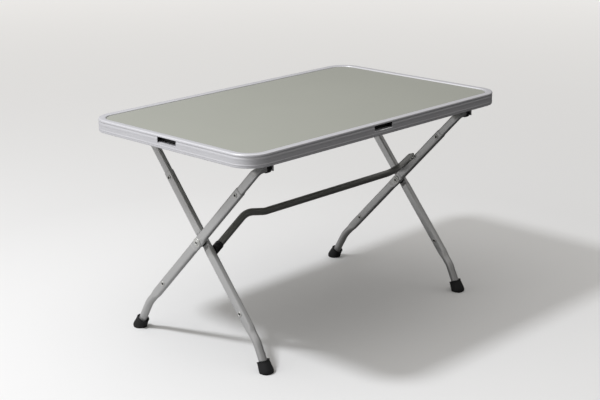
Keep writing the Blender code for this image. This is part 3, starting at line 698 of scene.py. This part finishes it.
legs = {
    "pivot": (-0.0095, 0.3534),
    "hingeHeight": 0.658,
    "stubHeight": 0.622,
    "a": {"turn": 1, "slope": 50.5, "footSlope": 65.0, "footY": -0.2695, "upper": 0.2220, "lower": -0.2493,
          "planes": {"left": -0.4400, "right": 0.4835}},
    "b": {"turn": -1, "slope": 46.3, "footSlope": 60.0, "footY": 0.2911, "upper": 0.2547, "lower": -0.2369,
          "planes": {"left": -0.4635, "right": 0.4600}},
    "changes": (-0.60, -0.318, -0.290, -0.030, -0.022, 0.022, 0.030, 0.30),  # up the leg, from the pivot
    "pastRivet": 0.0195,
    "pastHinge": 0.010,
    "upperStart": 0.175,
    "footBend": 0.100,
    "tubeFoot": 0.014,
    "sleeve": (0.0140, 0.0105),  # half sizes: in the leg's plane, and along X
    "upperTube": (0.0125, 0.0090),
    "footTube": 0.0128,
    "seat": (0.0155, 0.0070),  # pressed flat round the pivot
    "squareness": 4.4,
    "stubRadius": 0.0100,
    "stubLength": 0.046,
    "stubBend": 0.020,
    "bushRadius": 0.0125,
    "cupDip": (0.030, 0.0385, 0.0022),  # from and to, up the foot, and how far the lip dips
}


class Leg:
    # Directions and points of one leg pair: straight through the pivot, with a steeper foot.
    def __init__(self, letter):
        data = legs[letter]
        slope, foot = math.radians(data["slope"]), math.radians(data["footSlope"])
        self.letter = letter
        self.data = data
        self.planes = data["planes"]
        self.up = np.array([0, data["turn"] * math.cos(slope), math.sin(slope)])
        self.footUp = np.array([0, data["turn"] * math.cos(foot), math.sin(foot)])
        side = np.cross(xAxis, self.up)
        self.across = side if side[2] > 0 else -side
        self.body = "frame_" + letter

    def at(self, x, distance):
        # The pivot plus a distance up the leg.
        return np.array([x, *legs["pivot"]]) + self.up * distance

    def foot(self, x, distance):
        # The foot's place on the floor plus a distance up the foot.
        return np.array([x, self.data["footY"], 0.0]) + self.footUp * distance

    def bend(self, x):
        # Where the leg's line and the foot's line cross.
        start, floor = self.at(x, 0), self.foot(x, 0)
        reach = np.cross(floor - start, self.footUp)[0] / np.cross(self.up, self.footUp)[0]
        return self.at(x, reach)

    def reach(self, height):
        # How far up the leg a height is from the pivot.
        return (height - legs["pivot"][1]) / self.up[2]


def makeLowerLeg(leg, hand):
    # Flat-sided sleeve, pressed thinner round the pivot and drawn round towards the foot.
    x = leg.planes[hand]
    end = leg.data["upper"] + legs["pastRivet"]
    path = bentPath([leg.at(x, end), leg.bend(x), leg.foot(x, legs["tubeFoot"])], [legs["footBend"]])
    (side, depth), (seatSide, seatDepth), foot = legs["sleeve"], legs["seat"], legs["footTube"]

    def section(gone):
        at, knots = end - gone, legs["changes"]
        sides = eased(at, knots, [foot, foot, side, side, seatSide, seatSide, side, side])
        depths = eased(at, knots, [foot, foot, depth, depth, seatDepth, seatDepth, depth, depth])
        square = legs["squareness"]
        return sides, depths, eased(at, knots, [2.0, 2.0, *(square,) * 6])

    name = f"leg_{leg.letter}_{hand}_lower"
    surfaces = tubeSurfaces(path, leg.across, section, count=64)
    makePiece(f"sleeve_{leg.letter}_{hand}", surfaces, "legs", leg.body, [name])


def makeUpperLeg(leg, hand):
    # The narrower tube in the sleeve; the second pair's ends are bent square into round stubs.
    x = leg.planes[hand]
    halfSide, halfDepth = legs["upperTube"]
    square = legs["squareness"]
    start = leg.at(x, legs["upperStart"])
    if leg.letter == "a":
        path = bentPath([start, leg.at(x, leg.reach(legs["hingeHeight"]) + legs["pastHinge"])], [])

        def section(gone):
            return halfSide + gone * 0, halfDepth + gone * 0, square + gone * 0
    else:
        corner = leg.at(x, leg.reach(legs["stubHeight"]))
        path = bentPath([start, corner, corner + xAxis * legs["stubLength"]], [legs["stubBend"]], 0.002)
        straight = np.linalg.norm(corner - start) - legs["stubBend"]
        knots = [0.0, straight, straight + legs["stubBend"] * math.pi / 2, 1.0]
        stub = legs["stubRadius"]

        def section(gone):
            sides = eased(gone, knots, [halfSide, halfSide, stub, stub])
            depths = eased(gone, knots, [halfDepth, halfDepth, stub, stub])
            return sides, depths, eased(gone, knots, [square, square, 2.0, 2.0])

        makeBush(leg, hand, corner)
    name = f"leg_{leg.letter}_{hand}_upper"
    surfaces = tubeSurfaces(path, leg.across, section, count=64)
    makePiece(f"tube_{leg.letter}_{hand}", surfaces, "legs", leg.body, [name])


def makeBush(leg, hand, corner):
    # A black cap over the stub's end, with a rounded edge.
    tip, radius, bore = legs["stubLength"], legs["bushRadius"], legs["stubRadius"] + 0.0002
    profile = [
        (tip + 0.0002, bore), (tip - 0.014, bore), (tip - 0.014, radius - 0.0010),
        (tip - 0.0136, radius - 0.0003), (tip - 0.0130, radius), (tip - 0.0004, radius),
        (tip + 0.0010, radius - 0.0004),
        (tip + 0.0019, radius - 0.0014), (tip + 0.0023, radius - 0.0028), (tip + 0.0023, 0.0010),
    ]
    surfaces = turned(corner, xAxis, profile, 48)
    makePiece(f"stubCap_{hand}", surfaces, "plastic", leg.body, [f"stub_bush_{hand}"])


def tubularRivet(low, high, head, shank, bore, height=0.0021):
    # Along X from a rolled ring with a hole in it to a domed head.
    turn = np.linspace(math.pi * 0.08, math.pi, 13)
    middle, half = (bore + head) / 2, (head - bore) / 2
    ring = np.column_stack([low - height * np.sin(turn) ** 0.8, middle - half * np.cos(turn)])
    turn = np.linspace(0, math.pi / 2, 8)[:-1]
    dome = np.column_stack([high + height * np.sin(turn), head * np.cos(turn) ** 0.6])
    return np.vstack([[(low - 0.0002, bore * 0.97)], ring, [(low, shank), (high, shank)], dome])


def makeRivets(leg, hand):
    # A tubular rivet through each lower tube, above and below the pivot.
    x = leg.planes[hand]
    reach = legs["sleeve"][1] + 0.0003
    for label in ("upper", "lower"):
        place = leg.at(x, leg.data[label])
        profile = tubularRivet(-reach, reach, head=0.0077, shank=0.0045, bore=0.0038)
        name = f"rivet_{leg.letter}_{hand}_{label}"
        surfaces = turned(place, xAxis, profile, 40)
        makePiece("ring" + name[5:], surfaces, "rivet", leg.body, [name], sharp=45)


def makeFoot(leg, hand):
    # A rubber cup: radius by distance up the foot, a lip that dips front and back, cut off at the floor.
    x = leg.planes[hand]
    profile = np.array([
        (-0.0120, 0.0010), (-0.0120, 0.0060), (-0.0110, 0.0110), (-0.0090, 0.0145), (-0.0060, 0.0176),
        (-0.0020, 0.0199), (0.0030, 0.0211), (0.0080, 0.0209), (0.0160, 0.0202), (0.0240, 0.0193),
        (0.0310, 0.0185), (0.0345, 0.0183), (0.0370, 0.0187), (0.0386, 0.0193), (0.0392, 0.0191),
        (0.0394, 0.0184), (0.0392, 0.0160), (0.0380, 0.0139), (0.0360, 0.0130), (0.0142, 0.0130),
    ])
    count = 64
    turn = (np.arange(count) + 0.5) * math.tau / count
    rings = ovals(
        leg.foot(x, 0) + profile[:, :1] * leg.footUp, np.tile(np.cross(xAxis, leg.footUp), (len(profile), 1)),
        np.tile(xAxis, (len(profile), 1)), profile[:, 1], profile[:, 1], 2.4, count,
    )
    dipFrom, dipBy, depth = legs["cupDip"]
    dip = smooth(profile[:, 0], dipFrom, dipBy)[:, None] * (np.cos(turn) ** 2)[None] * depth
    rings = rings - dip[..., None] * leg.footUp
    drop = np.maximum(-rings[..., 2:], 0) / leg.footUp[2]
    rings = rings + drop * leg.footUp
    around = np.linspace(0, girth["foot"], count + 1)
    surfaces = [grid(rings, lengths(profile), around, closeAcross=True)]
    surfaces += [fan(rings[0], rings[0].mean(axis=0)), fan(rings[-1], rings[-1].mean(axis=0), True)]
    name = f"foot_cap_{leg.letter}_{hand}"
    makePiece("cup" + name[8:], surfaces, "rubber", leg.body, [name], sharp=50)


legA, legB = Leg("a"), Leg("b")
for leg in (legA, legB):
    for hand in ("left", "right"):
        makeLowerLeg(leg, hand)
        makeUpperLeg(leg, hand)
        makeRivets(leg, hand)
        makeFoot(leg, hand)
print("legs made")


pivot = {
    "washerRadius": 0.0145,
    "washerThickness": 0.0020,
    "spacerRadius": 0.0165,
    "groove": 0.0009,
    "edge": 0.0006,
    "head": 0.0085,
    "gap": 0.0003,
}


def makePivot(hand):
    # A pressed washer on the outer side, a grooved spacer between the legs and a rivet through all.
    low, high = sorted((legA.planes[hand], legB.planes[hand]))
    seat, gap = legs["seat"][1], pivot["gap"]
    centre = (0.0, *legs["pivot"])
    face = low - seat - gap
    outer = face - pivot["washerThickness"]
    radius = pivot["washerRadius"]
    profile = [
        (face, 0.0048), (outer + 0.0002, 0.0048), (outer, 0.0052), (outer, 0.0090), (outer + 0.0003, 0.0096),
        (outer + 0.0003, 0.0118), (outer, 0.0124), (outer, radius - 0.0008),
        (outer + 0.0003, radius - 0.0002), (outer + 0.0009, radius), (face, radius), (face, 0.0052),
    ]
    body = turned(centre, xAxis, profile, 64)[0]
    rings = body["points"].reshape(len(profile), 64, 3)
    surfaces = [body, grid(rings[[-1, 0]], closeAcross=True)]
    makePiece(f"washer_{hand}", surfaces, "zinc", "frame_a", [f"pivot_washer_{hand}"], sharp=45)
    start, end, wide = low + seat + gap, high - seat - gap, pivot["spacerRadius"]
    places = np.linspace(start, end, 25)
    groove = pivot["groove"] * smooth(np.abs(places - (start + end) / 2), 0.0024, 0.0014)
    edge = pivot["edge"] * smooth(np.minimum(places - start, end - places), 0.0008, 0.0)
    profile = np.column_stack([places, wide - groove - edge])
    makePiece(f"spacer_{hand}", turned(centre, xAxis, profile, 64), "plastic", "frame_a",
              [f"pivot_spacer_{hand}"], sharp=45)
    profile = tubularRivet(outer - gap, high + seat + gap, pivot["head"], shank=0.0045, bore=0.0034)
    makePiece(f"pin_{hand}", turned(centre, xAxis, profile, 48), "rivet", "frame_a",
              [f"pivot_rivet_{hand}"], sharp=45)


for hand in ("left", "right"):
    makePivot(hand)
print("pivots made")


bar = {
    "radius": 0.0115,
    "along": 0.0272,
    "across": 0.0209,
    "hump": (-0.262, -0.0148),  # x, and drop below the straight part
    "shoulder": (-0.190, 0.0),
    "leftDrop": 0.0618,
    "dropDirection": (0.0, -0.4082, -0.9129),
    "flat": (0.0108, 0.0035),
    "tip": 0.0040,
    "bends": (0.030, 0.048, 0.080, 0.080),  # radii, from the flattened end
    "tipUntil": 0.020,
    "flatUntil": 0.070,
    "roundFrom": 0.112,
    "landing": (0.093, 0.0190),
    "end": (0.136, 0.0165),
    "endX": 0.4457,
    "rivets": ((0.117, 0.0075), (0.128, 0.0075)),
    "rivet": (0.0034, 0.0016, 0.0020),  # head radius, head height, shank radius
    "rivetReach": 0.0060,
    "plugFace": -0.4289,
    "plugInset": 0.0110,
    "plugRadius": 0.0137,
}


def onLegB(x, along, across):
    # A point at distances along and across the second leg pair from the pivot.
    return legB.at(x, along) + legB.across * across


def makeBar():
    # A round tube through its corners, pressed flat with a trimmed tip where it is riveted on.
    drop = np.array(bar["dropDirection"])

    def low(x, fall):
        # A point of the bar's left part, below the line of its straight part.
        return onLegB(x, bar["along"], bar["across"]) + drop * fall

    left = low(bar["plugFace"] + bar["plugInset"], bar["leftDrop"])
    hump = low(*bar["hump"])
    corners = [left, hump, low(*bar["shoulder"]), onLegB(bar["endX"], bar["along"], bar["across"]),
               onLegB(bar["endX"], *bar["landing"]), onLegB(bar["endX"], *bar["end"])]
    path = bentPath(corners[::-1], bar["bends"])
    flatSide, flatDepth = bar["flat"]
    radius = bar["radius"]
    knots = [0.0, bar["tipUntil"], bar["flatUntil"], bar["roundFrom"], 2.0]

    def section(gone):
        sides = eased(gone, knots, [bar["tip"], flatSide, flatSide, radius, radius])
        depths = eased(gone, knots, [flatDepth, flatDepth, flatDepth, radius, radius])
        return sides, depths, eased(gone, knots, [2.8, 2.8, 2.8, 2.0, 2.0])

    surfaces = tubeSurfaces(path, legB.across, section, count=64)
    makePiece("liftBar", surfaces, "bar", "frame_b", ["crossbar"])
    face = bar["endX"] - flatDepth - 0.0003
    for number, (along, across) in enumerate(bar["rivets"], 1):
        turn = np.linspace(math.pi / 2, 0, 9)[1:]
        head, tall, shank = bar["rivet"]
        dome = np.column_stack([face - tall * np.sin(turn) ** 0.9, head * np.cos(turn) ** 0.7])
        profile = np.vstack([dome, [(face, shank), (face + bar["rivetReach"], shank)]])
        surfaces = turned(onLegB(0.0, along, across), xAxis, profile, 32)
        makePiece(f"barRivet_{number}", surfaces, "zinc", "frame_b", [f"crossbar_rivet_{number}"])
    makePlug(left, unit(left - hump))


def makePlug(left, along):
    # The bar's black end plug, with a rounded mouth, trimmed square to the leg beside it.
    wide, bore = bar["plugRadius"], bar["radius"] + 0.0002
    profile = [
        (0.0002, bore), (-0.0178, bore), (-0.0180, bore + 0.0004), (-0.0180, wide - 0.0012),
        (-0.0176, wide - 0.0003), (-0.0168, wide), (-0.0120, wide), (-0.0112, wide - 0.0006),
        (-0.0104, wide), (0.0060, wide), (0.0200, wide), (0.0400, wide),
    ]
    surfaces = turned(left, along, profile, 64)
    for surface in surfaces:
        points = surface["points"]
        past = np.minimum(points[:, 0] - bar["plugFace"], 0.0)
        surface["points"] = points - (past / along[0])[:, None] * along
    makePiece("barPlug", surfaces, "plastic", "frame_b", ["crossbar_plug"], sharp=40)


makeBar()
print("bar made")


under = {
    "railTop": 0.6877,
    "railWidth": 0.060,
    "railLip": 0.0100,
    "railWall": 0.0015,
    "railBend": 0.0022,
    "railOffset": 0.0255,
    "railReach": 0.3280,
    "bracketWall": 0.0020,
    "bracketHalf": 0.017,
    "bracketInner": 0.0096,
    "bracketDrop": 0.013,  # from the pin down to the yoke's edges
    "bracketBend": 0.0028,
    "clipWall": 0.0030,
    "clipStart": 0.0350,  # from the leg's plane
    "clipEnd": 0.0517,
    "clipChamfer": 0.0012,
    "clipGap": 0.0003,
    "clipBehind": 0.0020,
    "clipFront": 0.016,  # from the stub's middle
    "clipDrop": 0.006,
    "pieceTop": 0.6859,
    "screws": (-0.310, -0.110, 0.110, 0.310),
    "screwInset": 0.017,
}


def sheetSurfaces(line, wall, start, end, plane):
    # A bent sheet: its middle line (in a plane) moved half a wall each way and carried from start to end.
    line = np.array(line, float)
    tangents = unit(np.gradient(line, axis=0))
    normals = np.stack([-tangents[:, 1], tangents[:, 0]], axis=1)
    faces = [line + normals * wall / 2, line - normals * wall / 2]
    loop = np.vstack([faces[0], faces[1][::-1]])
    first, second = plane
    third = ({0, 1, 2} - {first, second}).pop()

    def placed(points, at):
        # The plane's points at a place along the third axis.
        made = np.zeros((len(points), 3))
        made[:, first], made[:, second], made[:, third] = points[:, 0], points[:, 1], at
        return made

    places = np.linspace(start, end, max(2, int(abs(end - start) / 0.01)))
    rings = np.stack([placed(loop, at) for at in places])
    gone = lengths(loop)
    across = np.append(gone, gone[-1] + wall)
    surfaces = [grid(rings, np.append(places, end), across, closeAcross=True)]
    for at in (start, end):
        surfaces.append(grid(np.stack([placed(faces[0], at), placed(faces[1], at)]), across=gone))
    return surfaces


def rounded2d(corners, radius):
    # A line in a plane with its corners turned on arcs.
    corners = np.column_stack([np.array(corners, float), np.zeros(len(corners))])
    return bentPath(corners, [radius] * (len(corners) - 2), 0.0012)[:, :2]


def makeRail(hand):
    # A channel with its edges down, carried across the underside, and its four screws.
    middle = legB.planes[hand] + under["railOffset"]
    half, wall, high = under["railWidth"] / 2, under["railWall"], under["railTop"]
    web, side = high - wall / 2, half - wall / 2
    line = rounded2d([(middle - side, high - under["railLip"]), (middle - side, web), (middle + side, web),
                      (middle + side, high - under["railLip"])], under["railBend"])
    surfaces = sheetSurfaces(line, wall, -under["railReach"], under["railReach"], (0, 2))
    makePiece(f"rail_{hand}", surfaces, "zinc", "top", [f"cross_rail_{hand}"])
    for number, y in enumerate(under["screws"], 1):
        makeScrew(hand, number, middle - math.copysign(under["screwInset"], middle), y)


def makeScrew(hand, number, x, y):
    # A domed head with a cross recess: height by distance from its middle, less the recess.
    high, radius, tall, recess, count = under["pieceTop"], 0.0040, 0.0026, 0.0011, 48
    across = [0.0, 0.3, 0.6, 0.9, 1.3, 1.7, 2.0, 2.3, 2.8, 3.3, 3.7, 4.0]
    across = np.array(across) / 1000
    turn = np.arange(count) * math.tau / count
    flatX, flatY = across[1:, None] * np.cos(turn), across[1:, None] * np.sin(turn)
    height = tall * (1 - (across[1:, None] / radius) ** 2.6) ** 0.6 + 0 * flatX
    arms = np.minimum(np.abs(flatX), np.abs(flatY))
    reach = np.maximum(np.abs(flatX), np.abs(flatY))
    height = height - recess * smooth(arms, 0.0006, 0.0003) * smooth(reach, 0.0023, 0.0019)
    rings = np.stack([flatX + x, flatY + y, high - height], axis=-1)
    wide = 6  # the shank's radius over the first ring's
    shank = np.stack([flatX[:1] * wide + x, flatY[:1] * wide + y, np.full((1, count), high)], axis=-1)
    tip = shank + [0, 0, 0.0080]
    rings = np.concatenate([rings, shank, tip])
    centre = np.array([x, y, high - tall + recess])
    surfaces = [grid(rings, closeAcross=True), fan(rings[0], centre), fan(tip[0], tip[0].mean(axis=0), True)]
    makePiece(f"screw_{hand}_{number}", surfaces, "zinc", "top", [f"rail_screw_{hand}_{number}"])


def makeBracket(hand):
    # A bent yoke over the leg's end and the pin through both.
    x = legA.planes[hand]
    y, z = legA.at(x, legA.reach(legs["hingeHeight"]))[1:]
    wall, inner, high = under["bracketWall"], under["bracketInner"], under["pieceTop"]
    side, low = inner + wall / 2, z - under["bracketDrop"]
    web = high - wall / 2
    line = rounded2d([(x - side, low), (x - side, web), (x + side, web), (x + side, low)],
                     under["bracketBend"])
    half = under["bracketHalf"]
    surfaces = sheetSurfaces(line, wall, y - half, y + half, (0, 2))
    makePiece(f"yoke_{hand}", surfaces, "zinc", "top", [f"leg_bracket_{hand}"])
    reach = inner + wall + 0.0003
    profile = tubularRivet(-reach, reach, head=0.0060, shank=0.0030, bore=0.0018)
    surfaces = turned((x, y, z), xAxis, profile, 40)
    makePiece(f"yokePin_{hand}", surfaces, "rivet", "top", [f"bracket_pin_{hand}"], sharp=45)


def makeClip(hand):
    # A saddle over the stub's cap: seat and rear wall bent from one sheet, and an end wall.
    corner = legB.at(legB.planes[hand], legB.reach(legs["stubHeight"]))
    wall, high = under["clipWall"], under["pieceTop"]
    startX, endX = corner[0] + under["clipStart"], corner[0] + under["clipEnd"]
    seat = corner[2] + legs["bushRadius"] + under["clipGap"]
    rear = corner[1] + legs["bushRadius"] + under["clipBehind"]
    front, low = corner[1] - under["clipFront"], corner[2] - under["clipDrop"]
    chamfer = under["clipChamfer"]
    block = np.array([
        (front, seat), (rear - 0.0018, seat), (rear - 0.0005, seat - 0.0006), (rear, seat - 0.0022),
        (rear, low), (rear + wall, low), (rear + wall, high - chamfer), (rear + wall - chamfer, high),
        (front + chamfer, high), (front, high - chamfer),
    ])
    innerX = endX - wall
    rings = np.stack([np.column_stack([np.full(len(block), at), block]) for at in (startX, innerX)])
    gone = lengths(block)
    across = np.append(gone, gone[-1] + wall)
    surfaces = [grid(rings, np.array([startX, innerX, endX]), across, closeAcross=True)]
    # the end wall also closes the hook's hollow: its first five corners and one below the first
    hollow = np.vstack([block[:5], [(front, low)]])
    outline = np.vstack([[(front, low)], block[4:], block[:1]])
    walls = np.stack([np.column_stack([np.full(len(outline), at), outline]) for at in (innerX, endX)])
    surfaces += [flatFace(rings[0]), flatFace(np.column_stack([np.full(len(hollow), innerX), hollow]))]
    surfaces += [grid(walls, closeAcross=True), flatFace(walls[1])]
    makePiece(f"saddle_{hand}", surfaces, "legs", "top", [f"stub_clip_{hand}"], bevel=0.0004)


def flatFace(ring):
    # One flat face inside a ring of points, cut into triangles.
    points = np.asarray(ring)
    corners = [Vector(point) for point in points]
    tris = np.array(tessellate_polygon([corners]))
    return {"points": points, "tris": tris, "triSpots": points[tris][..., 1:]}


for hand in ("left", "right"):
    makeRail(hand)
    makeBracket(hand)
    makeClip(hand)
print("underside made")
